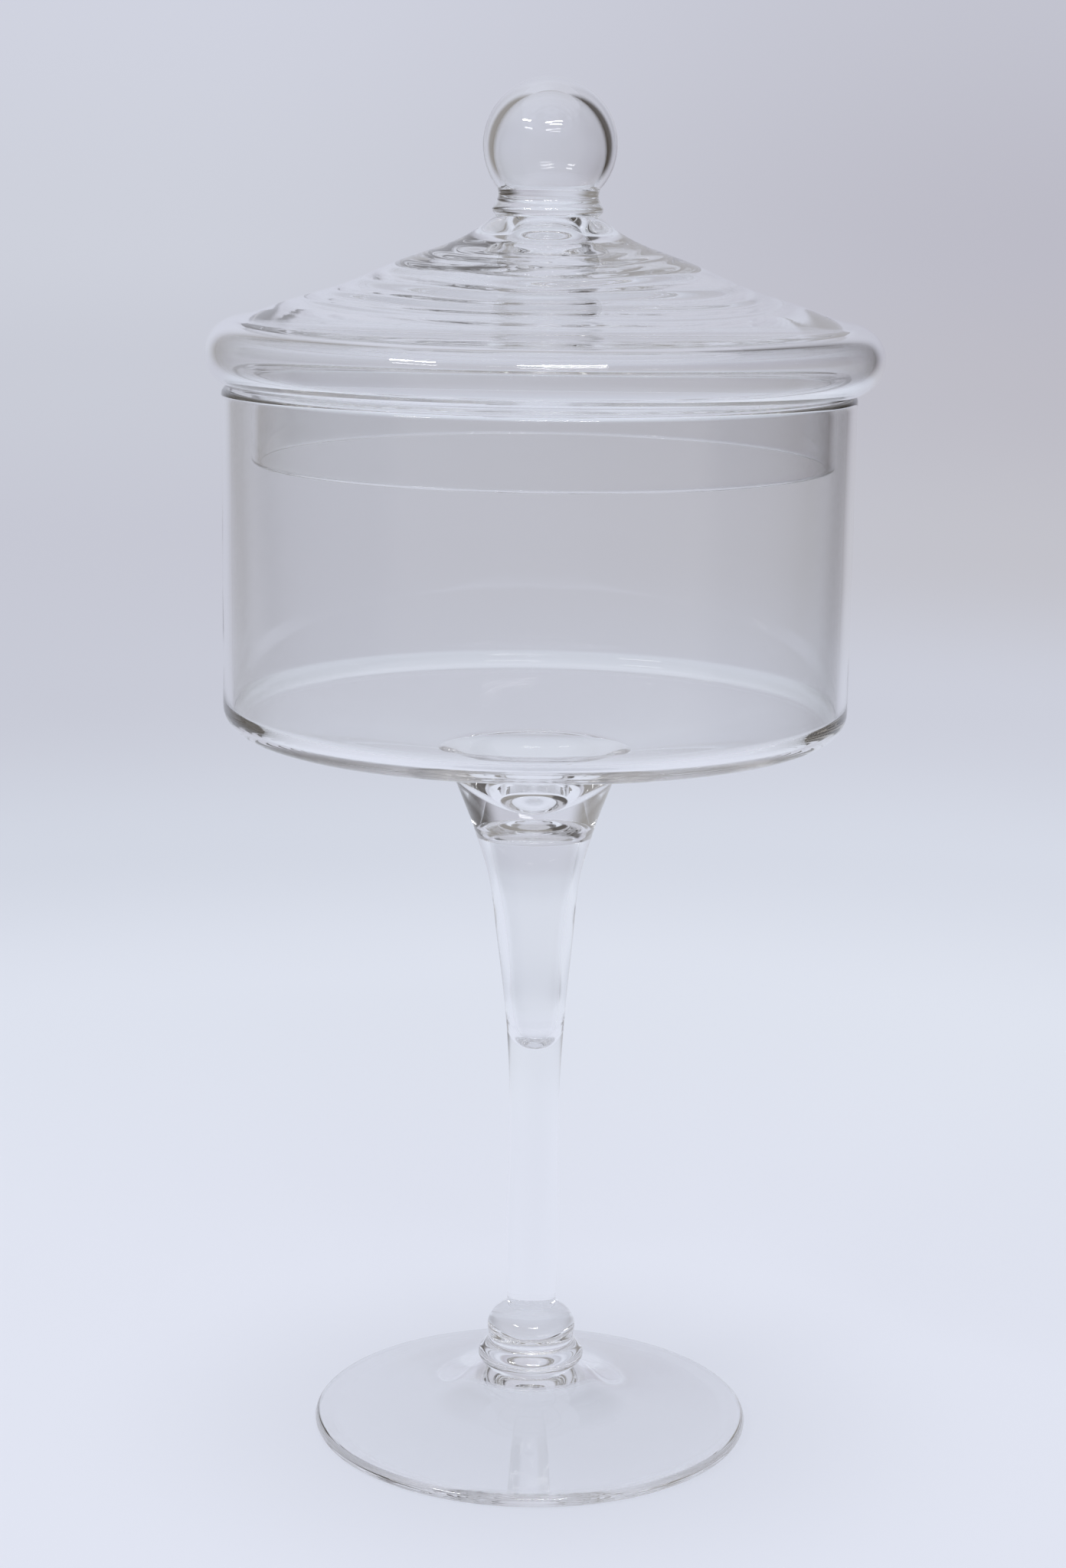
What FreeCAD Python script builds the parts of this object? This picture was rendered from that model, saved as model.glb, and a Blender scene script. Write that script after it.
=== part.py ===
import FreeCAD, Part
import math
import os

# Footed glass canister with a lift-off domed lid. Millimetres, +Z up.
# The origin is the centre of the foot's resting ring, on the surface it stands on.
# Every piece is a body of revolution about the Z axis, drawn as (radius, height).

# Foot: a shallow cone of glass, hollow underneath, resting on a flat ring
foot_radius = 65.0
foot_edge = 3.7            # thickness of the rounded edge
foot_height = 18.0         # height of the seat for the knop
foot_seat_radius = 13.4
foot_flare = 12.6          # how far the top surface has spread half way down
foot_wall = 4.4            # thickness of the cone, measured straight down
rest_ring_width = 5.0      # flat ring that stands on the table

# Knop: two rings of glass stacked between the foot and the stem
lower_ring_height = 8.4
lower_ring_radius = 15.8
upper_ring_height = 10.6
upper_ring_radius = 13.1
knop_waist_radius = 12.7   # where the two rings meet

# Stem: a long taper with a pointed air cavity in its upper half
stem_length = 145.0
stem_bottom_radius = 7.2
stem_swell_radius = 7.75
stem_waist_radius = 7.3
stem_shoulder_radius = 11.3
stem_top_radius = 17.0
cavity_depth = 64.5        # from the top of the stem down to the cavity's tip
cavity_wall = 3.6          # glass around the cavity at the top of the stem
cavity_middle_wall = 2.3   # glass around the cavity half way down it

# Boss: the gather that closes the cavity and joins the stem to the bowl
boss_height = 22.4
boss_radius = 28.5         # where it runs out into the underside of the bowl
cavity_crown = 8.8         # height of the cavity's domed top inside the boss
dip_skin = 0.4             # boss glass left between the cavity and the bowl

# Bowl: a straight cylinder with a rounded heel and a funnel-shaped dip in its floor
bowl_radius = 90.0
bowl_wall = 2.9
bowl_height = 107.0        # from the edge of the boss up to the lip
bowl_floor = 4.0           # thickness of the sloping floor, measured straight down
bowl_dip_floor = 0.8       # thickness of the floor at the bottom of the dip
floor_slope = math.radians(10.0)
heel_radius = 7.0
heel_inner_radius = 5.0

# Lid: one blown wall that runs from the crown over a hollow rolled rim to an inner flange
lid_gap = 0.3              # between the lip of the bowl and the lid at rest
roll_radius = 9.6          # outside radius of the rolled rim, in section
roll_overhang = 6.1        # how far the rim stands out past the bowl
lid_wall = 3.2
crown_height = 29.0        # from the top of the rolled rim up to the seat for the collar
crown_seat_radius = 14.6
crown_cavity_radius = 12.2
crown_cavity_depth = 13.4  # how far the hollow rises into the crown
crown_skin = 1.0           # glass left above that hollow
flange_clearance = 4.1     # between the flange and the inside of the bowl
flange_wall = 2.3
flange_depth = 20.7        # below the bottom of the rolled rim
flange_bend = 3.0

# Knob: a hollow blown ball on a small flared collar
collar_height = 7.5
collar_radius = 15.6
collar_groove_radius = 14.3
knob_radius = 18.8
knob_wall = 2.85
knob_crown_wall = 3.8      # the ball is thicker on top
knob_neck_radius = 14.4

# Heights and radii that follow from the sizes above
lower_ring_base = foot_height
upper_ring_base = lower_ring_base + lower_ring_height
stem_base = upper_ring_base + upper_ring_height
stem_top = stem_base + stem_length
boss_top = stem_top + boss_height
lip_height = boss_top + bowl_height
bowl_inner_radius = bowl_radius - bowl_wall
roll_centre_radius = bowl_radius + roll_overhang - roll_radius
roll_bottom = lip_height + lid_gap
roll_centre = roll_bottom + roll_radius
crown_seat = roll_bottom + 2 * roll_radius + crown_height
flange_radius = bowl_inner_radius - flange_clearance
knob_seat = crown_seat + collar_height


def point(radius, height):
    return FreeCAD.Vector(radius, 0, height)


def line(a, b):
    return Part.LineSegment(point(*a), point(*b)).toShape()


def arc(a, b, c):
    return Part.Arc(point(*a), point(*b), point(*c)).toShape()


def curve(points, start=None, end=None):
    spline = Part.BSplineCurve()
    nodes = [point(*p) for p in points]
    if start and end:
        spline.interpolate(Points=nodes, InitialTangent=point(*start), FinalTangent=point(*end))
    else:
        spline.interpolate(Points=nodes)
    return spline.toShape()


def on_circle(centre, radius, degrees):
    angle = math.radians(degrees)
    return (centre[0] + radius * math.cos(angle), centre[1] + radius * math.sin(angle))


def turned(edges):
    wire = Part.Wire(edges)
    return Part.Face(wire).revolve(FreeCAD.Vector(0, 0, 0), FreeCAD.Vector(0, 0, 1), 360)


def foot():
    edge_round = foot_edge / 2
    rest_outer = foot_radius - edge_round
    rest_inner = rest_outer - rest_ring_width
    rise = foot_height - foot_edge
    seat = (foot_seat_radius, foot_height)
    flare = (seat[0] + foot_flare, foot_edge + 0.52 * rise)
    neck = (seat[0] + 0.36 * foot_flare, foot_edge + 0.76 * rise)
    skirt = ((flare[0] + rest_outer) / 2, foot_edge + 0.20 * rise)
    top = [(rest_outer, foot_edge), skirt, flare, neck, seat]
    dish = [(0, foot_height - foot_wall)]
    dish += [(radius, height - foot_wall) for radius, height in (neck, flare, skirt)]
    dish.append((rest_inner, 0))
    return turned([
        line((rest_inner, 0), (rest_outer, 0)),
        arc((rest_outer, 0), (foot_radius, edge_round), (rest_outer, foot_edge)),
        curve(top, start=(-1, 0.12), end=(-1, 0.9)),
        line(seat, (0, foot_height)),
        line((0, foot_height), dish[0]),
        curve(dish, start=(1, 0), end=(1, -0.12)),
    ])


def knop_lower():
    base = (foot_seat_radius, lower_ring_base)
    widest = (lower_ring_radius, lower_ring_base + 0.45 * lower_ring_height)
    top = (knop_waist_radius, upper_ring_base)
    return turned([
        line((0, base[1]), base),
        arc(base, widest, top),
        line(top, (0, top[1])),
        line((0, top[1]), (0, base[1])),
    ])


def knop_upper():
    base = (knop_waist_radius, upper_ring_base)
    widest = (upper_ring_radius, upper_ring_base + 0.33 * upper_ring_height)
    shoulder = (0.5 * (upper_ring_radius + stem_bottom_radius) + 1.1, stem_base - 2.4)
    top = (stem_bottom_radius, stem_base)
    return turned([
        line((0, base[1]), base),
        curve([base, widest, shoulder, top]),
        line(top, (0, top[1])),
        line((0, top[1]), (0, base[1])),
    ])


def stem_outline():
    return [
        (stem_bottom_radius, stem_base),
        (stem_swell_radius, stem_base + 0.10 * stem_length),
        (stem_waist_radius, stem_base + 0.38 * stem_length),
        (0.53 * stem_waist_radius + 0.47 * stem_shoulder_radius, stem_base + 0.655 * stem_length),
        (stem_shoulder_radius, stem_base + 0.793 * stem_length),
        (0.6 * stem_shoulder_radius + 0.4 * stem_top_radius, stem_base + 0.917 * stem_length),
        (stem_top_radius, stem_top),
    ]


def stem():
    rim = (stem_top_radius - cavity_wall, stem_top)
    upper = (stem_shoulder_radius - cavity_middle_wall + 0.6, stem_top - 0.34 * cavity_depth)
    middle = (stem_shoulder_radius - 2 * cavity_middle_wall + 0.5, stem_top - 0.70 * cavity_depth)
    tip = (0, stem_top - cavity_depth)
    return turned([
        line((0, stem_base), (stem_bottom_radius, stem_base)),
        curve(stem_outline()),
        line((stem_top_radius, stem_top), rim),
        curve([rim, upper, middle, tip], start=(-0.25, -1), end=(-1, 0)),
        line(tip, (0, stem_base)),
    ])


def nipple():
    # the face that the bowl and the boss share, from the boss's edge to the axis
    lowest = stem_top + cavity_crown + dip_skin
    drop = boss_top - lowest
    points = [
        (boss_radius, boss_top),
        (0.56 * boss_radius, boss_top - 0.52 * drop),
        (0.28 * boss_radius, boss_top - 0.87 * drop),
        (0, lowest),
    ]
    return points, curve(points, start=(-1, -0.3), end=(-1, 0))


def stem_boss():
    rim = (stem_top_radius - cavity_wall, stem_top)
    haunch = (0.8 * rim[0], stem_top + 0.61 * cavity_crown)
    side = [
        (stem_top_radius, stem_top),
        (0.58 * stem_top_radius + 0.42 * boss_radius, stem_top + 0.59 * boss_height),
        (boss_radius, boss_top),
    ]
    crown = (0, stem_top + cavity_crown)
    nipple_points, nipple_edge = nipple()
    return turned([
        line(rim, side[0]),
        curve(side, start=(0.3, 1), end=(1, 0.3)),
        nipple_edge,
        line(nipple_points[-1], crown),
        curve([crown, haunch, rim], start=(1, 0), end=(0, -1)),
    ])


def heel_arc(wall_radius, cone_height, radius):
    # rounds the corner between the wall and a floor that rises outward at floor_slope
    centre_radius = wall_radius - radius
    cone_at_centre = cone_height + centre_radius * math.tan(floor_slope)
    centre = (centre_radius, cone_at_centre + radius / math.cos(floor_slope))
    start = on_circle(centre, radius, math.degrees(floor_slope) - 90)
    middle = on_circle(centre, radius, math.degrees(floor_slope) / 2 - 45)
    return start, middle, (wall_radius, centre[1])


def bowl():
    outer_cone = boss_top - boss_radius * math.tan(floor_slope)
    heel = heel_arc(bowl_radius, outer_cone, heel_radius)
    inner_heel = heel_arc(bowl_inner_radius, outer_cone + bowl_floor, heel_inner_radius)
    lip_round = bowl_wall / 2
    lip_side = lip_height - lip_round
    nipple_points, nipple_edge = nipple()
    dip_bottom = (0, nipple_points[-1][1] + bowl_dip_floor)
    dip_edge_radius = boss_radius - 2.0
    dip_edge = (dip_edge_radius, outer_cone + bowl_floor + dip_edge_radius * math.tan(floor_slope))
    dip_drop = dip_edge[1] - dip_bottom[1]
    dip = [
        dip_bottom,
        (0.3 * dip_edge_radius, dip_bottom[1] + 0.17 * dip_drop),
        (0.6 * dip_edge_radius, dip_bottom[1] + 0.58 * dip_drop),
        dip_edge,
    ]
    return turned([
        nipple_edge,
        line(nipple_points[0], heel[0]),
        arc(*heel),
        line(heel[2], (bowl_radius, lip_side)),
        arc((bowl_radius, lip_side), (bowl_radius - lip_round, lip_height), (bowl_inner_radius, lip_side)),
        line((bowl_inner_radius, lip_side), inner_heel[2]),
        arc(inner_heel[2], inner_heel[1], inner_heel[0]),
        line(inner_heel[0], dip_edge),
        curve(dip[::-1]),
        line(dip_bottom, nipple_points[-1]),
    ])


def lid_dome():
    roll = (roll_centre_radius, roll_centre)
    inner_roll = roll_radius - lid_wall
    slope = 62.0
    outer_start = on_circle(roll, roll_radius, slope + 20)
    inner_start = on_circle(roll, inner_roll, slope + 20)
    span = roll[0] - crown_seat_radius
    seat = (crown_seat_radius, crown_seat)
    crown_line = [
        seat,
        (crown_seat_radius + 0.10 * span, crown_seat - 0.175 * crown_height),
        (crown_seat_radius + 0.35 * span, crown_seat - 0.42 * crown_height),
        (crown_seat_radius + 0.60 * span, crown_seat - 0.68 * crown_height),
        (crown_seat_radius + 0.84 * span, crown_seat - 0.865 * crown_height),
        outer_start,
    ]
    hollow_top = crown_seat - crown_skin
    hollow_edge = hollow_top - crown_cavity_depth
    under = [
        inner_start,
        (crown_line[4][0] - 0.7, crown_line[4][1] - lid_wall - 0.3),
        (crown_line[3][0] - 0.8, crown_line[3][1] - lid_wall - 0.4),
        (crown_line[2][0] - 1.0, crown_line[2][1] - lid_wall - 0.5),
        (crown_cavity_radius + 7.0, hollow_edge),
        (crown_cavity_radius, hollow_top - 0.85 * crown_cavity_depth),
        (0.70 * crown_cavity_radius, hollow_top - 0.39 * crown_cavity_depth),
        (0.48 * crown_cavity_radius, hollow_top - 0.165 * crown_cavity_depth),
        (0, hollow_top),
    ]
    bend = (flange_radius + flange_bend, roll_bottom - flange_bend)
    flange_inner = flange_radius - flange_wall
    inner_bottom = roll_centre - inner_roll
    inner_bend = bend[0] - flange_inner
    inner_bend_centre = (bend[0], inner_bottom - inner_bend)
    flange_end = roll_bottom - flange_depth
    end_round = flange_wall / 2
    roll_low = (roll[0], roll_bottom)
    bend_start = (bend[0], roll_bottom)
    flange_corner = (flange_radius, bend[1])
    outer_end = (flange_radius, flange_end + end_round)
    inner_end = (flange_inner, flange_end + end_round)
    return turned([
        line((0, crown_seat), seat),
        curve(crown_line),
        arc(outer_start, on_circle(roll, roll_radius, 0), roll_low),
        line(roll_low, bend_start),
        arc(bend_start, on_circle(bend, flange_bend, 135), flange_corner),
        line(flange_corner, outer_end),
        arc(outer_end, (flange_radius - end_round, flange_end), inner_end),
        line(inner_end, (flange_inner, inner_bend_centre[1])),
        arc((flange_inner, inner_bend_centre[1]), on_circle(inner_bend_centre, inner_bend, 135),
            (bend[0], inner_bottom)),
        line((bend[0], inner_bottom), (roll[0], inner_bottom)),
        arc((roll[0], inner_bottom), on_circle(roll, inner_roll, 0), inner_start),
        curve(under),
        line((0, hollow_top), (0, crown_seat)),
    ])


def knob_collar():
    base = (crown_seat_radius, crown_seat)
    widest = (collar_radius, crown_seat + 0.19 * collar_height)
    groove = (collar_groove_radius, crown_seat + 0.60 * collar_height)
    top = (knob_neck_radius, knob_seat)
    return turned([
        line((0, base[1]), base),
        curve([base, widest, groove, top]),
        line(top, (0, top[1])),
        line((0, top[1]), (0, base[1])),
    ])


def knob_ball():
    centre = knob_seat + math.sqrt(knob_radius ** 2 - knob_neck_radius ** 2)
    inner_radius = knob_radius - knob_wall
    inner_centre = centre + knob_wall - knob_crown_wall
    mouth = math.sqrt(inner_radius ** 2 - (inner_centre - knob_seat) ** 2)
    neck = (knob_neck_radius, knob_seat)
    top = centre + knob_radius
    inner_top = inner_centre + inner_radius
    return turned([
        line((mouth, knob_seat), neck),
        arc(neck, (knob_radius, centre), (0, top)),
        line((0, top), (0, inner_top)),
        arc((0, inner_top), (inner_radius, inner_centre), (mouth, knob_seat)),
    ])


makers = {
    "foot": foot,
    "knop_lower": knop_lower,
    "knop_upper": knop_upper,
    "stem": stem,
    "stem_boss": stem_boss,
    "bowl": bowl,
    "lid_dome": lid_dome,
    "knob_collar": knob_collar,
    "knob_ball": knob_ball,
}

os.makedirs("parts", exist_ok=True)
for name, make in makers.items():
    shape = make()
    if shape.ShapeType != "Solid":
        shape = shape.Solids[0]
    if not shape.isValid() or shape.Volume <= 0:
        raise ValueError(name + " is not a sound solid")
    shape.exportStep("parts/" + name + ".step")
    box = shape.BoundBox
    print(name, round(shape.Volume / 1000, 1), "cm3, z", round(box.ZMin, 2), "to", round(box.ZMax, 2))
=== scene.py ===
import math

import bmesh
import bpy
import numpy as np
from mathutils import Matrix, Vector


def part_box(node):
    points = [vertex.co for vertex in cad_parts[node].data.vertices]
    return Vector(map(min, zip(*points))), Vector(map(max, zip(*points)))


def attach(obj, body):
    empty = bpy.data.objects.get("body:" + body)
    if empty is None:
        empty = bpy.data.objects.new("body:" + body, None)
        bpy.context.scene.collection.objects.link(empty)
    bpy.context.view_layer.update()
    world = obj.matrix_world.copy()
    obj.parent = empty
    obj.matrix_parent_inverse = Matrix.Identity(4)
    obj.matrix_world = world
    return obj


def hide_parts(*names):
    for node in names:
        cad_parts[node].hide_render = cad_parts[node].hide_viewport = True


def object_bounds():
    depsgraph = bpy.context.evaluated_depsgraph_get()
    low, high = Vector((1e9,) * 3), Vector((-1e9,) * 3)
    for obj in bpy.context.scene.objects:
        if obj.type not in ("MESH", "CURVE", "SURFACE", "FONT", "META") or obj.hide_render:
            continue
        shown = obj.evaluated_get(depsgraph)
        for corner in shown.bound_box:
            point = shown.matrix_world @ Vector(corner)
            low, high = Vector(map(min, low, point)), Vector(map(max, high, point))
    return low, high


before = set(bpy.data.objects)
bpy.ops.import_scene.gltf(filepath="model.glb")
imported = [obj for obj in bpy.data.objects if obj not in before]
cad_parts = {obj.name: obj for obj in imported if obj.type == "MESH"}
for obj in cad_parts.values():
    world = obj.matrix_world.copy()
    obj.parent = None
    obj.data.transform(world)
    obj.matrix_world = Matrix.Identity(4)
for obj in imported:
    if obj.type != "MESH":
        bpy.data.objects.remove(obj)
cadLow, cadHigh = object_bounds()
mm = 0.001
print("frame loaded:", len(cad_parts), "nodes")


# Outlines are lists of (radius, height) in metres.

def smoothLine(points, step=1.0 * mm, start=None, end=None):
    # an even curve through the points; start and end are its directions there
    p = np.array(points, float)
    h = np.hypot(*np.diff(p, axis=0).T)
    n = len(p)
    a = np.eye(n)
    b = np.zeros((n, 2))
    for i in range(1, n - 1):
        a[i, i - 1:i + 2] = h[i - 1], 2 * (h[i - 1] + h[i]), h[i]
        b[i] = 6 * ((p[i + 1] - p[i]) / h[i] - (p[i] - p[i - 1]) / h[i - 1])
    if start is not None:
        a[0, :2] = 2 * h[0], h[0]
        b[0] = 6 * ((p[1] - p[0]) / h[0] - np.array(start) / np.hypot(*start))
    if end is not None:
        a[-1, -2:] = h[-1], 2 * h[-1]
        b[-1] = 6 * (np.array(end) / np.hypot(*end) - (p[-1] - p[-2]) / h[-1])
    m = np.linalg.solve(a, b)
    line = []
    for i in range(n - 1):
        count = max(2, round(h[i] / step))
        for k in range(count):
            u = k / count * h[i]
            v = h[i] - u
            spot = (m[i] * v ** 3 + m[i + 1] * u ** 3) / (6 * h[i])
            spot += (p[i] / h[i] - m[i] * h[i] / 6) * v
            spot += (p[i + 1] / h[i] - m[i + 1] * h[i] / 6) * u
            line.append((max(0.0, spot[0]), spot[1]))
    line.append(tuple(p[-1]))
    return line


def straightLine(a, b, step=1.5 * mm):
    count = max(1, round(math.dist(a, b) / step))
    return [(a[0] + (b[0] - a[0]) * i / count, a[1] + (b[1] - a[1]) * i / count) for i in range(count + 1)]


def onCircle(centre, radius, degrees):
    angle = math.radians(degrees)
    return (centre[0] + radius * math.cos(angle), centre[1] + radius * math.sin(angle))


def arcLine(centre, radius, fromDegrees, toDegrees, turn=4.0):
    count = max(4, round(abs(toDegrees - fromDegrees) / turn))
    angles = [fromDegrees + (toDegrees - fromDegrees) * i / count for i in range(count + 1)]
    return [onCircle(centre, radius, angle) for angle in angles]


def joined(*lines):
    whole = list(lines[0])
    for line in lines[1:]:
        whole += line[1:]
    return whole


def eased(value, low, high):
    t = min(1.0, max(0.0, (value - low) / (high - low)))
    return t * t * (3 - 2 * t)


# Glass pieces are outlines spun about the axis. A face welded to the next piece takes the weld material.

spinning = {
    "steps": 256,
    "sectors": 16,
    "mergeDistance": 0.001 * mm,
    "creaseAngle": 32.0,
    "weldGap": 0.02 * mm,
    "weldStep": 3 * mm,
}
glassFace = 0
weldFace = 1


def spinOutline(bm, line, material=glassFace):
    # spins a sixteenth of the turn, then doubles it until the turn is full
    counts = len(bm.verts), len(bm.edges), len(bm.faces)
    verts = [bm.verts.new((radius, 0, height)) for radius, height in line]
    edges = [bm.edges.new(pair) for pair in zip(verts, verts[1:])]
    sector = 2 * math.pi / spinning["sectors"]
    bmesh.ops.spin(bm, geom=verts + edges, cent=(0, 0, 0), axis=(0, 0, 1), dvec=(0, 0, 0),
                   angle=sector, steps=spinning["steps"] // spinning["sectors"], use_merge=False)
    doublings = 0
    while 2 ** doublings < spinning["sectors"]:
        for layer in (bm.verts, bm.edges, bm.faces):
            layer.ensure_lookup_table()
        part = bm.verts[counts[0]:] + bm.edges[counts[1]:] + bm.faces[counts[2]:]
        copies = bmesh.ops.duplicate(bm, geom=part)["geom"]
        copiedVerts = [item for item in copies if isinstance(item, bmesh.types.BMVert)]
        turn = Matrix.Rotation(sector * 2 ** doublings, 3, "Z")
        bmesh.ops.rotate(bm, verts=copiedVerts, cent=(0, 0, 0), matrix=turn)
        doublings += 1
    bm.faces.ensure_lookup_table()
    made = bm.faces[counts[2]:]
    for face in made:
        face.material_index = material
    return made


def spinWeld(bm, a, b):
    spinOutline(bm, straightLine(a, b, spinning["weldStep"]), weldFace)


def finishPiece(bm, name, body, node, bend):
    bmesh.ops.remove_doubles(bm, verts=bm.verts, dist=spinning["mergeDistance"])
    bmesh.ops.dissolve_degenerate(bm, edges=bm.edges, dist=spinning["mergeDistance"])
    bmesh.ops.recalc_face_normals(bm, faces=bm.faces)
    # the two faces of a weld stay a hair apart, so that light passes each in turn
    pulls = {}
    for face in bm.faces:
        face.smooth = True
        if face.material_index == weldFace:
            for vert in face.verts:
                pulls[vert] = pulls.get(vert, Vector()) - face.normal
    for vert, pull in pulls.items():
        vert.co += pull.normalized() * spinning["weldGap"]
    crease = math.radians(spinning["creaseAngle"])
    for edge in bm.edges:
        if len(edge.link_faces) == 2:
            one, other = edge.link_faces
            edge.smooth = one.material_index == other.material_index and edge.calc_face_angle() < crease
    for vert in bm.verts:
        vert.co = bend(vert.co)
    mesh = bpy.data.meshes.new(name)
    bm.to_mesh(mesh)
    bm.free()
    mesh.materials.append(clearGlass)
    mesh.materials.append(weldGlass)
    piece = bpy.data.objects.new(name, mesh)
    bpy.context.scene.collection.objects.link(piece)
    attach(piece, body)
    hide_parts(node)
    print("made", name, len(mesh.polygons), "faces")
    return piece


# Materials

glassLook = {
    "colour": (0.985, 0.987, 0.99, 1.0),
    "bendingOfLight": 1.5,
    "smudge": 0.012,
    "smudgeScale": 22.0,
    "smudgeFrom": 0.45,
    "smudgeTo": 0.75,
    "waveScale": 28.0,
    "waveDepth": 0.06 * mm,
}


def makeGlass():
    # faint smudges in the gloss and slow waves in the surface, as hand-blown glass has
    material = bpy.data.materials.new("clearGlass")
    material.use_nodes = True
    nodes = material.node_tree.nodes
    links = material.node_tree.links
    shader = nodes["Principled BSDF"]
    shader.inputs["Base Color"].default_value = glassLook["colour"]
    shader.inputs["Transmission Weight"].default_value = 1.0
    shader.inputs["IOR"].default_value = glassLook["bendingOfLight"]
    place = nodes.new("ShaderNodeTexCoord")
    smudges = nodes.new("ShaderNodeTexNoise")
    smudges.inputs["Scale"].default_value = glassLook["smudgeScale"]
    smudges.inputs["Detail"].default_value = 3.0
    spread = nodes.new("ShaderNodeMapRange")
    spread.inputs["From Min"].default_value = glassLook["smudgeFrom"]
    spread.inputs["From Max"].default_value = glassLook["smudgeTo"]
    spread.inputs["To Min"].default_value = 0.0
    spread.inputs["To Max"].default_value = glassLook["smudge"]
    waves = nodes.new("ShaderNodeTexNoise")
    waves.inputs["Scale"].default_value = glassLook["waveScale"]
    waves.inputs["Detail"].default_value = 1.0
    bump = nodes.new("ShaderNodeBump")
    bump.inputs["Strength"].default_value = 1.0
    bump.inputs["Distance"].default_value = glassLook["waveDepth"]
    links.new(place.outputs["Object"], smudges.inputs["Vector"])
    links.new(smudges.outputs["Fac"], spread.inputs["Value"])
    links.new(spread.outputs["Result"], shader.inputs["Roughness"])
    links.new(place.outputs["Object"], waves.inputs["Vector"])
    links.new(waves.outputs["Fac"], bump.inputs["Height"])
    links.new(bump.outputs["Normal"], shader.inputs["Normal"])
    return material


def makeWeld():
    # glass runs on through a weld, so the touching faces are fully clear
    material = bpy.data.materials.new("weldGlass")
    material.use_nodes = True
    shader = material.node_tree.nodes["Principled BSDF"]
    shader.inputs["Base Color"].default_value = glassLook["colour"]
    shader.inputs["Alpha"].default_value = 0.0
    return material


clearGlass = makeGlass()
weldGlass = makeWeld()
print("materials ready")


# Hand-blown drift: the bowl sits a little to one side of the foot, and the knob of the lid.

drift = {
    "bowl": -1.4 * mm,
    "bowlFrom": 112 * mm,
    "bowlTo": 205 * mm,
    "knob": 0.6 * mm,
    "knobFrom": 355 * mm,
    "knobTo": 375 * mm,
}


def vesselDrift(spot):
    return spot + Vector((drift["bowl"] * eased(spot.z, drift["bowlFrom"], drift["bowlTo"]), 0, 0))


def lidDrift(spot):
    return spot + Vector((drift["knob"] * eased(spot.z, drift["knobFrom"], drift["knobTo"]), 0, 0))


# Foot

foot = {
    "edge": 3.7 * mm,
    "edgeSlope": 6.0,
    "seatRadius": 13.4 * mm,
    "seatSlope": 0.9,
    "dishSlope": 0.12,
    "flare": 12.6 * mm,
    "wall": 4.4 * mm,
    "restWidth": 5.0 * mm,
    "pontilRadius": 5.5 * mm,
    "pontilDepth": 0.4 * mm,
}


def makeFoot():
    # a shallow cone; its underside follows the top, with a small pontil mark in the middle
    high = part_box("foot")[1]
    edgeRound = foot["edge"] / 2
    restOuter = high.x - edgeRound
    restInner = restOuter - foot["restWidth"]
    rise = high.z - foot["edge"]
    seat = (foot["seatRadius"], high.z)
    flare = (seat[0] + foot["flare"], foot["edge"] + 0.52 * rise)
    neck = (seat[0] + 0.36 * foot["flare"], foot["edge"] + 0.76 * rise)
    skirt = ((flare[0] + restOuter) / 2, foot["edge"] + 0.20 * rise)
    edge = arcLine((restOuter, edgeRound), edgeRound, -90, 90 - foot["edgeSlope"])
    slope = math.radians(foot["edgeSlope"])
    top = smoothLine([edge[-1], skirt, flare, neck, seat], start=(-math.cos(slope), math.sin(slope)),
                     end=(-1, foot["seatSlope"]))
    wall = foot["wall"]
    dome = high.z - wall
    pontil = foot["pontilRadius"]
    dish = smoothLine([
        (0, dome - foot["pontilDepth"]),
        (0.6 * pontil, dome - 0.8 * foot["pontilDepth"]),
        (pontil, dome),
        (1.5 * pontil, dome - 0.1 * mm),
        (neck[0], neck[1] - wall),
        (flare[0], flare[1] - wall),
        (skirt[0], skirt[1] - wall),
        (restInner, 0),
    ], start=(1, 0), end=(1, -foot["dishSlope"]))
    bm = bmesh.new()
    spinOutline(bm, joined(dish, straightLine((restInner, 0), (restOuter, 0)), edge, top))
    spinWeld(bm, seat, (0, high.z))
    return finishPiece(bm, "footDisc", "vessel", "foot", vesselDrift)


# Knop: two rings between the foot and the stem

knop = {
    "waistRadius": 12.7 * mm,
    "lowerWidest": 0.45,
    "upperWidest": 0.33,
    "shoulderDrop": 2.4 * mm,
    "shoulderOut": 1.1 * mm,
    "stemRadius": 7.2 * mm,
}


def makeLowerKnop():
    low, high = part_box("knop_lower")
    base = (foot["seatRadius"], low.z)
    widest = (high.x, low.z + knop["lowerWidest"] * (high.z - low.z))
    below = (knop["waistRadius"] + 0.35 * (high.x - knop["waistRadius"]), high.z - 1.6 * mm)
    top = (knop["waistRadius"], high.z)
    bm = bmesh.new()
    spinOutline(bm, smoothLine([base, widest, below, top], 0.4 * mm, end=(-0.1, 1)))
    spinWeld(bm, (0, low.z), base)
    spinWeld(bm, top, (0, high.z))
    return finishPiece(bm, "knopLowerRing", "vessel", "knop_lower", vesselDrift)


def makeUpperKnop():
    low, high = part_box("knop_upper")
    base = (knop["waistRadius"], low.z)
    widest = (high.x, low.z + knop["upperWidest"] * (high.z - low.z))
    shoulder = (0.5 * (high.x + knop["stemRadius"]) + knop["shoulderOut"], high.z - knop["shoulderDrop"])
    top = (knop["stemRadius"], high.z)
    bm = bmesh.new()
    spinOutline(bm, smoothLine([base, widest, shoulder, top], 0.4 * mm, start=(-0.1, 1)))
    spinWeld(bm, (0, low.z), base)
    spinWeld(bm, top, (0, high.z))
    return finishPiece(bm, "knopUpperRing", "vessel", "knop_upper", vesselDrift)


# Stem, with its pointed air cavity, and the boss that closes the cavity

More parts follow.
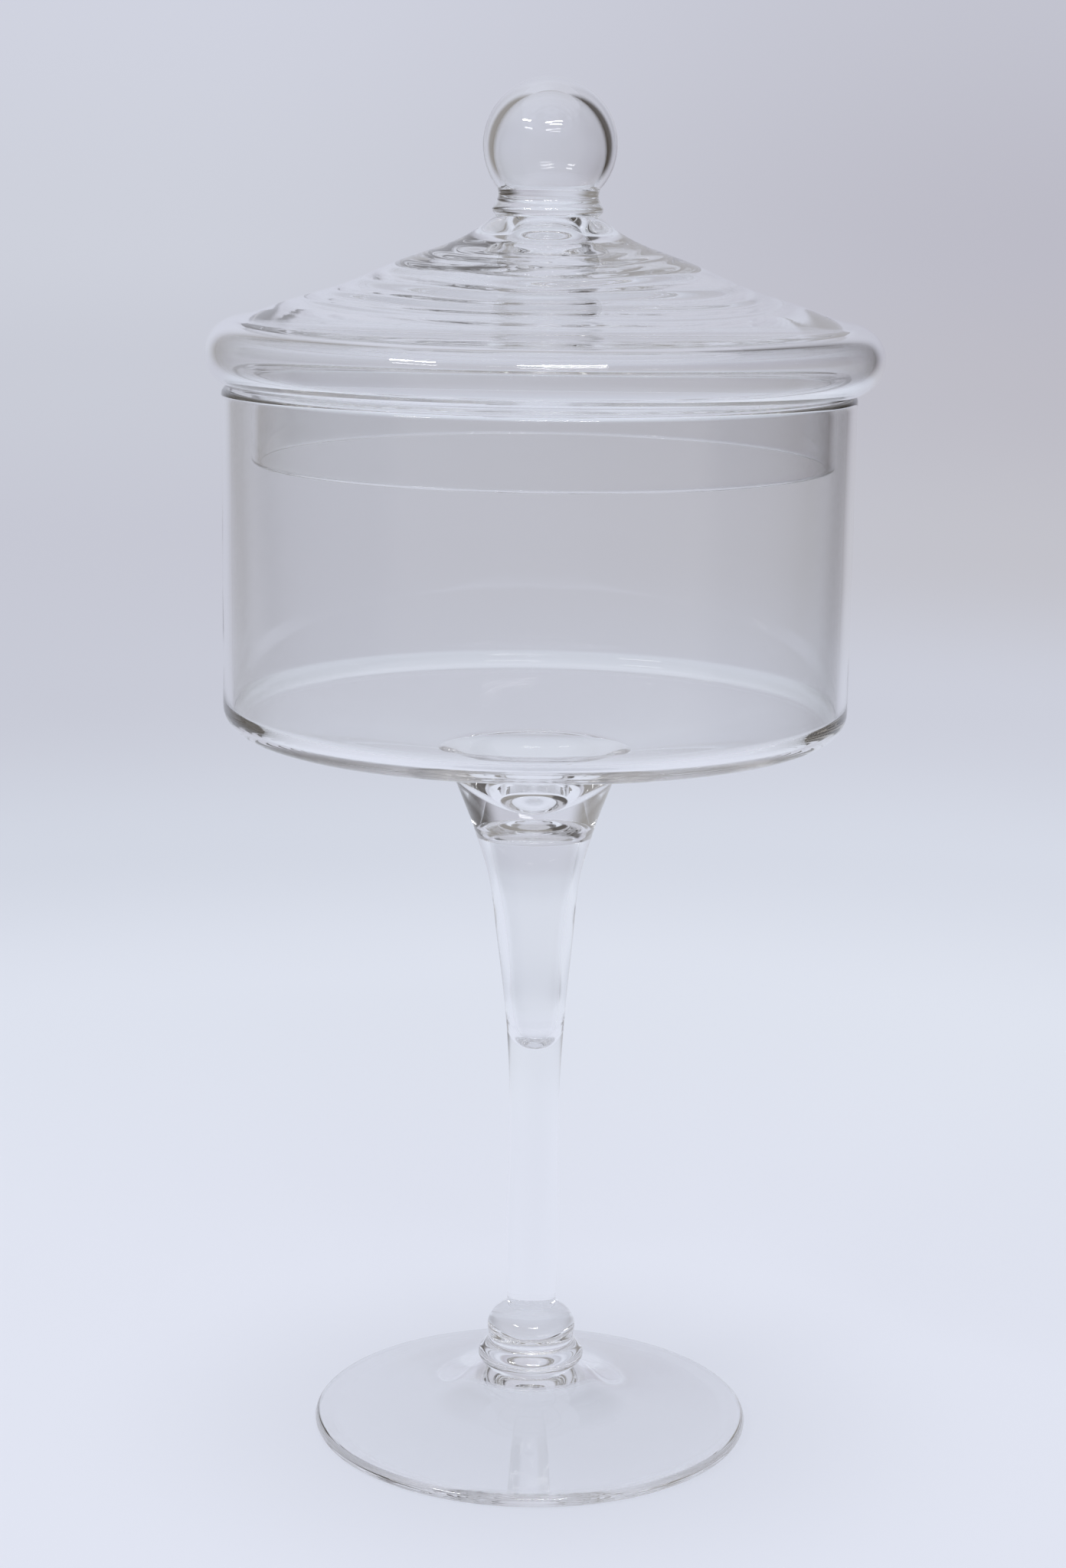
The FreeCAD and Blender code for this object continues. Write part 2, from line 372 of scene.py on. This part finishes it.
stem = {
    "swellRadius": 7.75 * mm,
    "waistRadius": 7.3 * mm,
    "shoulderRadius": 11.3 * mm,
    "cavityDepth": 64.5 * mm,
    "cavityWall": 3.6 * mm,
    "cavityMiddleWall": 2.3 * mm,
    "crown": 8.8 * mm,
    "dipSkin": 0.4 * mm,
}


def makeStem():
    low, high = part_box("stem")
    length = high.z - low.z
    base = (knop["stemRadius"], low.z)
    shoulder = stem["shoulderRadius"]
    side = smoothLine([
        base,
        (stem["swellRadius"], low.z + 0.10 * length),
        (stem["waistRadius"], low.z + 0.38 * length),
        (0.53 * stem["waistRadius"] + 0.47 * shoulder, low.z + 0.655 * length),
        (shoulder, low.z + 0.793 * length),
        (0.6 * shoulder + 0.4 * high.x, low.z + 0.917 * length),
        (high.x, high.z),
    ])
    rim = (high.x - stem["cavityWall"], high.z)
    cavity = smoothLine([
        rim,
        (shoulder - stem["cavityMiddleWall"] + 0.6 * mm, high.z - 0.34 * stem["cavityDepth"]),
        (shoulder - 2 * stem["cavityMiddleWall"] + 0.5 * mm, high.z - 0.70 * stem["cavityDepth"]),
        (0, high.z - stem["cavityDepth"]),
    ], 0.7 * mm, start=(-0.25, -1), end=(-1, 0))
    bm = bmesh.new()
    spinOutline(bm, side)
    spinOutline(bm, cavity)
    spinOutline(bm, straightLine((high.x, high.z), rim), weldFace)
    spinWeld(bm, (0, low.z), base)
    return finishPiece(bm, "stemTaper", "vessel", "stem", vesselDrift)


def nippleLine():
    # the face that the bowl and the boss share
    low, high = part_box("stem_boss")
    lowest = low.z + stem["crown"] + stem["dipSkin"]
    drop = high.z - lowest
    return smoothLine([
        (high.x, high.z),
        (0.56 * high.x, high.z - 0.52 * drop),
        (0.28 * high.x, high.z - 0.87 * drop),
        (0, lowest),
    ], start=(-1, -0.3), end=(-1, 0))


def makeBoss():
    low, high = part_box("stem_boss")
    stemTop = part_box("stem")[1].x
    rim = (stemTop - stem["cavityWall"], low.z)
    haunch = (0.8 * rim[0], low.z + 0.61 * stem["crown"])
    side = smoothLine([
        (stemTop, low.z),
        (0.58 * stemTop + 0.42 * high.x, low.z + 0.59 * (high.z - low.z)),
        (high.x, high.z),
    ], 0.6 * mm, start=(0.3, 1), end=(1, 0.3))
    crown = smoothLine([(0, low.z + stem["crown"]), haunch, rim], 0.5 * mm, start=(1, 0), end=(0, -1))
    bm = bmesh.new()
    spinOutline(bm, side)
    spinOutline(bm, crown)
    spinOutline(bm, straightLine((stemTop, low.z), rim), weldFace)
    spinOutline(bm, nippleLine(), weldFace)
    return finishPiece(bm, "stemBoss", "vessel", "stem_boss", vesselDrift)


# Bowl

bowl = {
    "wall": 2.9 * mm,
    "floor": 4.0 * mm,
    "dipFloor": 0.8 * mm,
    "floorSlope": 10.0,
    "heelRadius": 7.0 * mm,
    "heelInnerRadius": 5.0 * mm,
    "dipInset": 2.0 * mm,
}


def heelLine(wallRadius, coneHeight, radius):
    # the rounded corner between the wall and the sloping floor
    slope = math.radians(bowl["floorSlope"])
    centreRadius = wallRadius - radius
    centre = (centreRadius, coneHeight + centreRadius * math.tan(slope) + radius / math.cos(slope))
    return arcLine(centre, radius, bowl["floorSlope"] - 90, 0)


def makeBowl():
    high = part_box("bowl")[1]
    slope = math.tan(math.radians(bowl["floorSlope"]))
    nipple = nippleLine()
    coneHeight = nipple[0][1] - nipple[0][0] * slope
    wallInner = high.x - bowl["wall"]
    heel = heelLine(high.x, coneHeight, bowl["heelRadius"])
    innerHeel = heelLine(wallInner, coneHeight + bowl["floor"], bowl["heelInnerRadius"])[::-1]
    lipRound = bowl["wall"] / 2
    lipSide = high.z - lipRound
    lip = arcLine((high.x - lipRound, lipSide), lipRound, 0, 180, 8)
    dipBottom = (0, nipple[-1][1] + bowl["dipFloor"])
    dipRadius = nipple[0][0] - bowl["dipInset"]
    dipEdge = (dipRadius, coneHeight + bowl["floor"] + dipRadius * slope)
    dipDrop = dipEdge[1] - dipBottom[1]
    dip = smoothLine([
        dipEdge,
        (0.6 * dipRadius, dipBottom[1] + 0.58 * dipDrop),
        (0.3 * dipRadius, dipBottom[1] + 0.17 * dipDrop),
        dipBottom,
    ], start=(-1, -slope), end=(-1, 0))
    bm = bmesh.new()
    spinOutline(bm, nipple, weldFace)
    spinOutline(bm, joined(
        straightLine(nipple[0], heel[0]),
        heel,
        straightLine(heel[-1], lip[0]),
        lip,
        straightLine(lip[-1], innerHeel[0]),
        innerHeel,
        straightLine(innerHeel[-1], dipEdge),
        dip,
    ))
    return finishPiece(bm, "bowlGlass", "vessel", "bowl", vesselDrift)


# Lid: one wall from the crown over the hollow rolled rim to the flange

lid = {
    "rollRadius": 9.6 * mm,
    "wall": 3.2 * mm,
    "seatRadius": 14.6 * mm,
    "cavityRadius": 12.2 * mm,
    "cavityDepth": 13.4 * mm,
    "skin": 1.0 * mm,
    "flangeRadius": 83.0 * mm,
    "flangeWall": 2.3 * mm,
    "flangeDepth": 20.7 * mm,
    "bend": 3.0 * mm,
    "rollEnd": 82.0,
    "rippleWidth": 8.5 * mm,
    "rippleDepth": 0.55 * mm,
    "rippleSide": math.radians(-110),
    "rippleFrom": 22 * mm,
    "rippleTo": 80 * mm,
    "rippleFadeIn": 8 * mm,
    "rippleFadeOut": 25 * mm,
    "rippleWander": 1.1 * mm,
    "rippleFineWander": 0.7 * mm,
}


def rippleUnderside(faces):
    # rings left by the blowing iron: short arcs, deeper on one side than the other
    verts = {vert for face in faces for vert in face.verts}
    for vert in verts:
        radius = math.hypot(vert.co.x, vert.co.y)
        angle = math.atan2(vert.co.y, vert.co.x)
        fade = eased(radius, lid["rippleFrom"], lid["rippleFrom"] + lid["rippleFadeIn"])
        fade *= 1 - eased(radius, lid["rippleTo"] - lid["rippleFadeOut"], lid["rippleTo"])
        wander = lid["rippleWander"] * math.sin(angle * 2 + 1)
        wander += lid["rippleFineWander"] * math.sin(angle * 5 + radius * 130)
        phase = 2 * math.pi * (radius + wander) / lid["rippleWidth"]
        side = 0.5 + 0.5 * math.cos(angle - lid["rippleSide"])
        patchy = 0.65 + 0.35 * math.sin(angle * 3 + radius * 210 + 1.7)
        # narrow crests between wide troughs
        crest = 1 - 1.6 * abs(math.sin(phase / 2)) ** 1.4
        vert.co.z += lid["rippleDepth"] * fade * patchy * (0.2 + 0.8 * side) * crest


def makeLid():
    low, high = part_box("lid_dome")
    rollRadius = lid["rollRadius"]
    rollBottom = low.z + lid["flangeDepth"]
    roll = (high.x - rollRadius, rollBottom + rollRadius)
    innerRoll = rollRadius - lid["wall"]
    crownHeight = high.z - rollBottom - 2 * rollRadius
    seat = (lid["seatRadius"], high.z)
    span = roll[0] - seat[0]
    outerRoll = arcLine(roll, rollRadius, lid["rollEnd"], -90)
    rollStart = outerRoll[0]
    slope = math.radians(lid["rollEnd"] - 90)
    crown = [
        seat,
        (seat[0] + 0.10 * span, high.z - 0.175 * crownHeight),
        (seat[0] + 0.35 * span, high.z - 0.42 * crownHeight),
        (seat[0] + 0.60 * span, high.z - 0.68 * crownHeight),
        (seat[0] + 0.84 * span, high.z - 0.865 * crownHeight),
        rollStart,
    ]
    crownLine = smoothLine(crown, 0.9 * mm, end=(math.cos(slope), math.sin(slope)))
    hollowTop = high.z - lid["skin"]
    hollowEdge = hollowTop - lid["cavityDepth"]
    cavity = lid["cavityRadius"]
    wall = lid["wall"]
    innerStart = onCircle(roll, innerRoll, lid["rollEnd"])
    under = smoothLine([
        innerStart,
        (crown[4][0] - 0.7 * mm, crown[4][1] - wall - 0.3 * mm),
        (crown[3][0] - 0.8 * mm, crown[3][1] - wall - 0.4 * mm),
        (crown[2][0] - 1.0 * mm, crown[2][1] - wall - 0.5 * mm),
        (cavity + 7.0 * mm, hollowEdge),
        (cavity, hollowTop - 0.85 * lid["cavityDepth"]),
        (0.70 * cavity, hollowTop - 0.39 * lid["cavityDepth"]),
        (0.48 * cavity, hollowTop - 0.165 * lid["cavityDepth"]),
        (0, hollowTop),
    ], 0.8 * mm, start=(-math.cos(slope), -math.sin(slope)), end=(-1, 0))
    flange = lid["flangeRadius"]
    flangeInner = flange - lid["flangeWall"]
    bend = (flange + lid["bend"], rollBottom - lid["bend"])
    innerBottom = roll[1] - innerRoll
    innerBend = bend[0] - flangeInner
    innerBendCentre = (bend[0], innerBottom - innerBend)
    endRound = lid["flangeWall"] / 2
    flangeEnd = (flange - endRound, low.z + endRound)
    bm = bmesh.new()
    rippleUnderside(spinOutline(bm, under))
    spinOutline(bm, crownLine)
    spinOutline(bm, joined(
        outerRoll,
        straightLine((roll[0], rollBottom), (bend[0], rollBottom)),
        arcLine(bend, lid["bend"], 90, 180, 6),
        straightLine((flange, bend[1]), (flange, flangeEnd[1])),
        arcLine(flangeEnd, endRound, 0, -180, 10),
        straightLine((flangeInner, flangeEnd[1]), (flangeInner, innerBendCentre[1])),
        arcLine(innerBendCentre, innerBend, 180, 90, 5),
        straightLine((bend[0], innerBottom), (roll[0], innerBottom)),
        arcLine(roll, innerRoll, -90, lid["rollEnd"]),
    ))
    spinWeld(bm, (0, high.z), seat)
    return finishPiece(bm, "lidGlass", "lid", "lid_dome", lidDrift)


# Knob: a hollow ball on a flared collar

knob = {
    "wall": 2.85 * mm,
    "crownWall": 3.8 * mm,
    "neckRadius": 14.4 * mm,
    "grooveRadius": 14.3 * mm,
}


def knobMouth():
    low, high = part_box("knob_ball")
    radius = high.x
    centre = high.z - radius
    innerRadius = radius - knob["wall"]
    innerCentre = centre + knob["wall"] - knob["crownWall"]
    mouth = math.sqrt(innerRadius ** 2 - (innerCentre - low.z) ** 2)
    return radius, centre, innerRadius, innerCentre, mouth


def makeCollar():
    low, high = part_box("knob_collar")
    height = high.z - low.z
    mouth = knobMouth()[4]
    base = (lid["seatRadius"], low.z)
    top = (knob["neckRadius"], high.z)
    side = smoothLine([
        base,
        (high.x, low.z + 0.19 * height),
        (knob["grooveRadius"], low.z + 0.60 * height),
        top,
    ], 0.3 * mm)
    bm = bmesh.new()
    spinOutline(bm, side)
    spinOutline(bm, straightLine((mouth, high.z), (0, high.z), 1 * mm))
    spinOutline(bm, straightLine(top, (mouth, high.z)), weldFace)
    spinWeld(bm, (0, low.z), base)
    return finishPiece(bm, "knobCollar", "lid", "knob_collar", lidDrift)


def makeBall():
    radius, centre, innerRadius, innerCentre, mouth = knobMouth()
    neckAngle = -math.degrees(math.acos(knob["neckRadius"] / radius))
    mouthAngle = -math.degrees(math.acos(mouth / innerRadius))
    outside = arcLine((0, centre), radius, neckAngle, 90, 2.5)
    inside = arcLine((0, innerCentre), innerRadius, 90, mouthAngle, 2.5)
    bm = bmesh.new()
    spinOutline(bm, outside)
    spinOutline(bm, inside)
    spinOutline(bm, straightLine(inside[-1], outside[0]), weldFace)
    return finishPiece(bm, "knobBall", "lid", "knob_ball", lidDrift)


makeFoot()
makeLowerKnop()
makeUpperKnop()
makeStem()
makeBoss()
makeBowl()
makeLid()
makeCollar()
makeBall()
print("glass pieces ready")


# Stage: a pale floor that curves up all round into a wall. It glows a little, so its shade hardly depends
# on the lights. A soft shadow is painted into the floor close round the foot.

stage = {
    "flatRadius": 0.75,
    "curveRadius": 2.4,
    "wallTop": 4.5,
    "glow": 0.86,
    "paint": 0.16,
    "drop": 0.4 * mm,
    "shadeLeft": -0.40,
    "shadeRight": 0.50,
    "paperStart": 1.6,
    "sideDim": (0.30, 0.285, 0.27, 1),
    "sideFrom": 0.21,
    "sideTo": 0.42,
    "roomDim": (0.07, 0.06, 0.05, 1),
    "roomLean": 0.45,
    "roomFrom": -0.30,
    "roomTo": 0.15,
    "roomRight": 0.3,
    "frontFrom": -0.25,
    "frontTo": -1.10,
    "surround": (0.50, 0.50, 0.54, 1),
}
sweepShades = [
    # distance from the middle, shade on the left, shade on the right
    # the first row is a painted shadow: the floor's shade is darkened under and round the foot
    (0.00, (0.675, 0.702, 0.795), (0.650, 0.678, 0.768)),
    (0.15, (0.783, 0.815, 0.922), (0.783, 0.815, 0.922)),
    (0.48, (0.768, 0.806, 0.905), (0.783, 0.822, 0.913)),
    (0.79, (0.680, 0.716, 0.807), (0.724, 0.760, 0.855)),
    (1.12, (0.612, 0.630, 0.716), (0.651, 0.672, 0.761)),
    (1.40, (0.604, 0.617, 0.701), (0.578, 0.578, 0.631)),
    (1.68, (0.625, 0.644, 0.723), (0.545, 0.539, 0.600)),
    (1.90, (0.658, 0.680, 0.761), (0.536, 0.533, 0.607)),
    (2.30, (0.680, 0.701, 0.799), (0.584, 0.591, 0.672)),
    (3.10, (0.700, 0.720, 0.810), (0.650, 0.660, 0.740)),
]


def shadeRamp(nodes, side):
    ramp = nodes.new("ShaderNodeValToRGB")
    ramp.color_ramp.interpolation = "EASE"
    reach = sweepShades[-1][0]
    points = ramp.color_ramp.elements
    points[1].position = 1.0
    points[1].color = (*sweepShades[-1][side], 1)
    points[0].color = (*sweepShades[0][side], 1)
    for row in sweepShades[1:-1]:
        point = points.new(row[0] / reach)
        point.color = (*row[side], 1)
    return ramp


def makeMath(nodes, operation, second=None):
    node = nodes.new("ShaderNodeMath")
    node.operation = operation
    if second is not None:
        node.inputs[1].default_value = second
    return node


def makeRange(nodes, low, high):
    node = nodes.new("ShaderNodeMapRange")
    node.interpolation_type = "SMOOTHSTEP"
    node.inputs["From Min"].default_value = low
    node.inputs["From Max"].default_value = high
    return node


def makeColourMix(nodes, blend="MIX"):
    node = nodes.new("ShaderNodeMix")
    node.data_type = "RGBA"
    node.blend_type = blend
    return node


def makeSweepMaterial():
    material = bpy.data.materials.new("sweepPaper")
    material.use_nodes = True
    nodes = material.node_tree.nodes
    links = material.node_tree.links
    nodes.remove(nodes["Principled BSDF"])
    out = nodes["Material Output"]
    place = nodes.new("ShaderNodeTexCoord")
    split = nodes.new("ShaderNodeSeparateXYZ")
    flatten = nodes.new("ShaderNodeCombineXYZ")
    length = nodes.new("ShaderNodeVectorMath")
    length.operation = "LENGTH"
    reach = makeMath(nodes, "DIVIDE", sweepShades[-1][0])
    across = makeRange(nodes, stage["shadeLeft"], stage["shadeRight"])
    left = shadeRamp(nodes, 1)
    right = shadeRamp(nodes, 2)
    paper = makeColourMix(nodes)
    # the paper widens from front to back, and the room to its sides and in front is dimmer
    width = makeMath(nodes, "ABSOLUTE")
    depth = makeMath(nodes, "ADD", stage["paperStart"])
    spread = makeMath(nodes, "DIVIDE")
    side = makeRange(nodes, stage["sideFrom"], stage["sideTo"])
    front = makeRange(nodes, stage["frontTo"], stage["frontFrom"])
    front.inputs["To Min"].default_value = 1.0
    front.inputs["To Max"].default_value = 0.0
    either = makeMath(nodes, "MAXIMUM")
    dim = makeColourMix(nodes)
    # beyond the paper's right edge the room is darker still
    room = makeColourMix(nodes)
    room.inputs["A"].default_value = stage["sideDim"]
    room.inputs["B"].default_value = stage["roomDim"]
    lean = makeMath(nodes, "MULTIPLY_ADD", stage["roomLean"])
    depthMask = makeRange(nodes, stage["roomFrom"], stage["roomTo"])
    rightMask = makeRange(nodes, 0.0, stage["roomRight"])
    roomMask = makeMath(nodes, "MULTIPLY")
    glow = nodes.new("ShaderNodeEmission")
    glow.inputs["Strength"].default_value = stage["glow"]
    paint = nodes.new("ShaderNodeBsdfDiffuse")
    coat = makeColourMix(nodes, "MULTIPLY")
    coat.inputs["Factor"].default_value = 1.0
    coat.inputs["B"].default_value = (stage["paint"],) * 3 + (1,)
    add = nodes.new("ShaderNodeAddShader")
    wiring = [
        (place.outputs["Object"], split.inputs["Vector"]),
        (split.outputs["X"], flatten.inputs["X"]),
        (split.outputs["Y"], flatten.inputs["Y"]),
        (flatten.outputs["Vector"], length.inputs[0]),
        (length.outputs["Value"], reach.inputs[0]),
        (reach.outputs["Value"], left.inputs["Fac"]),
        (reach.outputs["Value"], right.inputs["Fac"]),
        (split.outputs["X"], across.inputs["Value"]),
        (across.outputs["Result"], paper.inputs["Factor"]),
        (left.outputs["Color"], paper.inputs["A"]),
        (right.outputs["Color"], paper.inputs["B"]),
        (split.outputs["X"], width.inputs[0]),
        (split.outputs["Y"], depth.inputs[0]),
        (width.outputs["Value"], spread.inputs[0]),
        (depth.outputs["Value"], spread.inputs[1]),
        (spread.outputs["Value"], side.inputs["Value"]),
        (split.outputs["Y"], front.inputs["Value"]),
        (side.outputs["Result"], either.inputs[0]),
        (front.outputs["Result"], either.inputs[1]),
        (split.outputs["X"], lean.inputs[0]),
        (split.outputs["Y"], lean.inputs[2]),
        (lean.outputs["Value"], depthMask.inputs["Value"]),
        (split.outputs["X"], rightMask.inputs["Value"]),
        (depthMask.outputs["Result"], roomMask.inputs[0]),
        (rightMask.outputs["Result"], roomMask.inputs[1]),
        (roomMask.outputs["Value"], room.inputs["Factor"]),
        (room.outputs["Result"], dim.inputs["B"]),
        (either.outputs["Value"], dim.inputs["Factor"]),
        (paper.outputs["Result"], dim.inputs["A"]),
        (dim.outputs["Result"], glow.inputs["Color"]),
        (dim.outputs["Result"], coat.inputs["A"]),
        (coat.outputs["Result"], paint.inputs["Color"]),
        (glow.outputs["Emission"], add.inputs[0]),
        (paint.outputs["BSDF"], add.inputs[1]),
        (add.outputs["Shader"], out.inputs["Surface"]),
    ]
    for start, end in wiring:
        links.new(start, end)
    return material


def makeSweep():
    curve = arcLine((stage["flatRadius"], stage["curveRadius"]), stage["curveRadius"], -90, 0, 2)
    outer = stage["flatRadius"] + stage["curveRadius"]
    wall = [(outer, stage["curveRadius"]), (outer, stage["wallTop"])]
    bm = bmesh.new()
    spinOutline(bm, joined(straightLine((0, 0), (stage["flatRadius"], 0), 0.05), curve, wall))
    bmesh.ops.remove_doubles(bm, verts=bm.verts, dist=0.01 * mm)
    bmesh.ops.translate(bm, verts=bm.verts, vec=(0, 0, -stage["drop"]))
    for face in bm.faces:
        face.smooth = True
        if face.normal.z < 0:
            face.normal_flip()
    mesh = bpy.data.meshes.new("sweep")
    bm.to_mesh(mesh)
    bm.free()
    mesh.materials.append(makeSweepMaterial())
    sweep = bpy.data.objects.new("sweep", mesh)
    bpy.context.scene.collection.objects.link(sweep)


makeSweep()

world = bpy.data.worlds.new("studioWorld")
bpy.context.scene.world = world
world.use_nodes = True
world.node_tree.nodes["Background"].inputs["Color"].default_value = stage["surround"]
world.node_tree.nodes["Background"].inputs["Strength"].default_value = 1.0

# Lights: thin ceiling panels, each aimed at the middle of the canister
softboxes = {
    # name: azimuth, elevation, distance, width, height, watts
    "ceilingPanelMiddle": (-4, 41, 2.2, 0.34, 0.07, 4.5),
    "ceilingPanelLeft": (-50, 41, 2.2, 0.55, 0.10, 9),
    "ceilingPanelRight": (11, 38, 2.2, 0.70, 0.04, 4.5),
    "ceilingPanelFarRight": (11, 43, 2.2, 0.70, 0.04, 4.5),
}


def makeSoftbox(name, azimuth, elevation, distance, width, height, watts):
    light = bpy.data.lights.new(name, "AREA")
    light.shape = "RECTANGLE"
    light.size = width
    light.size_y = height
    light.energy = watts
    lamp = bpy.data.objects.new(name, light)
    aim = Vector((0, 0, (cadLow.z + cadHigh.z) / 2))
    a, e = math.radians(azimuth), math.radians(elevation)
    away = Vector((math.sin(a) * math.cos(e), -math.cos(a) * math.cos(e), math.sin(e)))
    lamp.location = aim + away * distance
    lamp.rotation_euler = away.to_track_quat("Z", "Y").to_euler()
    lamp.visible_camera = False
    bpy.context.scene.collection.objects.link(lamp)


for name, values in softboxes.items():
    makeSoftbox(name, *values)
print("stage and lights ready")


# Camera: fitted to the canister's foot, knop, bowl, lid and knob together
camera = {
    "lens": 71.59,
    "distance": 0.8895,
    "height": 0.3827,
    "down": 11.80,
    "turn": 0.11,
    "roll": 0.81,
}


def makeCamera():
    data = bpy.data.cameras.new("camera")
    data.sensor_width = 36.0
    data.lens = camera["lens"]
    data.clip_start = 0.05
    data.clip_end = 30.0
    turn, down, roll = (math.radians(camera[key]) for key in ("turn", "down", "roll"))
    right = Vector((math.cos(turn), math.sin(turn), 0))
    ahead = Vector((-math.sin(turn), math.cos(turn), 0))
    up = ahead * math.sin(down) + Vector((0, 0, math.cos(down)))
    back = -(ahead * math.cos(down) - Vector((0, 0, math.sin(down))))
    rolledRight = right * math.cos(roll) + up * math.sin(roll)
    rolledUp = up * math.cos(roll) - right * math.sin(roll)
    eye = bpy.data.objects.new("camera", data)
    bpy.context.scene.collection.objects.link(eye)
    axes = Matrix((rolledRight, rolledUp, back)).transposed().to_4x4()
    eye.matrix_world = Matrix.Translation((0, -camera["distance"], camera["height"])) @ axes
    bpy.context.scene.camera = eye


makeCamera()
bpy.context.scene.view_settings.view_transform = "Standard"

# light has to cross many walls of glass before it may stop
lightBounces = 96
tracing = bpy.context.scene.cycles
tracing.max_bounces = lightBounces
tracing.transmission_bounces = lightBounces
tracing.glossy_bounces = lightBounces
tracing.transparent_max_bounces = lightBounces
print("camera ready")
